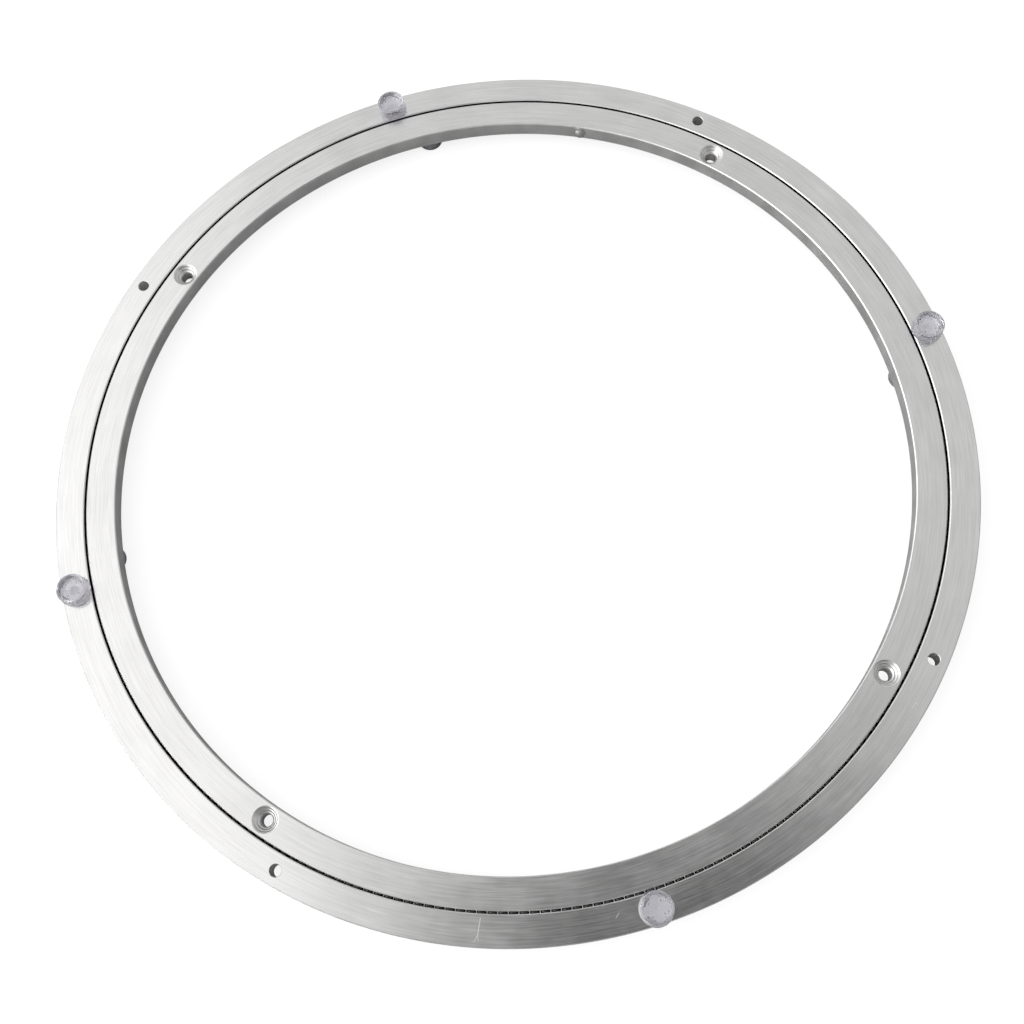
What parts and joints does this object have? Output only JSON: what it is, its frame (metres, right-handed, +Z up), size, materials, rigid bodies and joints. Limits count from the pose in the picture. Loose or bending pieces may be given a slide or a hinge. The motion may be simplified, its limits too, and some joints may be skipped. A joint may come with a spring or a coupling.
{
  "type": "lazy susan turntable",
  "caption": "Flat ring turntable: an outer aluminium ring turns on a row of balls round an inner ring on rubber feet, and carries a tray on rubber bumpers.",
  "frame": {"origin": "on the axis of rotation, at the table, level with the undersides of the feet", "axes": "+Z up along the axis of rotation; +X through foot_1, +Y through foot_2"},
  "size_m": [0.4006, 0.4006, 0.018],
  "materials": {
    "outer_ring_aluminium": "turned, clear anodised, with fine concentric lines",
    "inner_ring_aluminium": "turned, clear anodised, with fine concentric lines",
    "plug_aluminium": "plain turned",
    "bearing_steel": "polished and lightly oiled",
    "clear_rubber": "clear moulded silicone, faintly lavender"
  },
  "bodies": {
    "standing_ring": {"inner_ring": "inner_ring_aluminium", "loading_plug": "plug_aluminium", "foot_1": "clear_rubber", "foot_2": "clear_rubber", "foot_3": "clear_rubber", "foot_4": "clear_rubber"},
    "turning_ring": {"outer_ring": "outer_ring_aluminium", "bumper_1": "clear_rubber", "bumper_2": "clear_rubber", "bumper_3": "clear_rubber", "bumper_4": "clear_rubber"},
    "ball_row": {"bearing_balls_01": "bearing_steel", "bearing_balls_02": "bearing_steel", "bearing_balls_03": "bearing_steel", "bearing_balls_04": "bearing_steel", "bearing_balls_05": "bearing_steel", "bearing_balls_06": "bearing_steel", "bearing_balls_07": "bearing_steel", "bearing_balls_08": "bearing_steel", "bearing_balls_09": "bearing_steel", "bearing_balls_10": "bearing_steel", "bearing_balls_11": "bearing_steel", "bearing_balls_12": "bearing_steel", "bearing_balls_13": "bearing_steel"}
  },
  "joints": [
    {"name": "outer_ring_spin", "type": "hinge", "parent": "standing_ring", "child": "turning_ring", "pos_m": [0, 0, 0.009], "axis": [0, 0, 1], "continuous": true},
    {"name": "ball_orbit", "type": "hinge", "parent": "standing_ring", "child": "ball_row", "pos_m": [0, 0, 0.009], "axis": [0, 0, 1], "continuous": true}
  ],
  "couplings": [
    {"joint": "ball_orbit", "follows": "outer_ring_spin", "ratio": 0.50535}
  ]
}
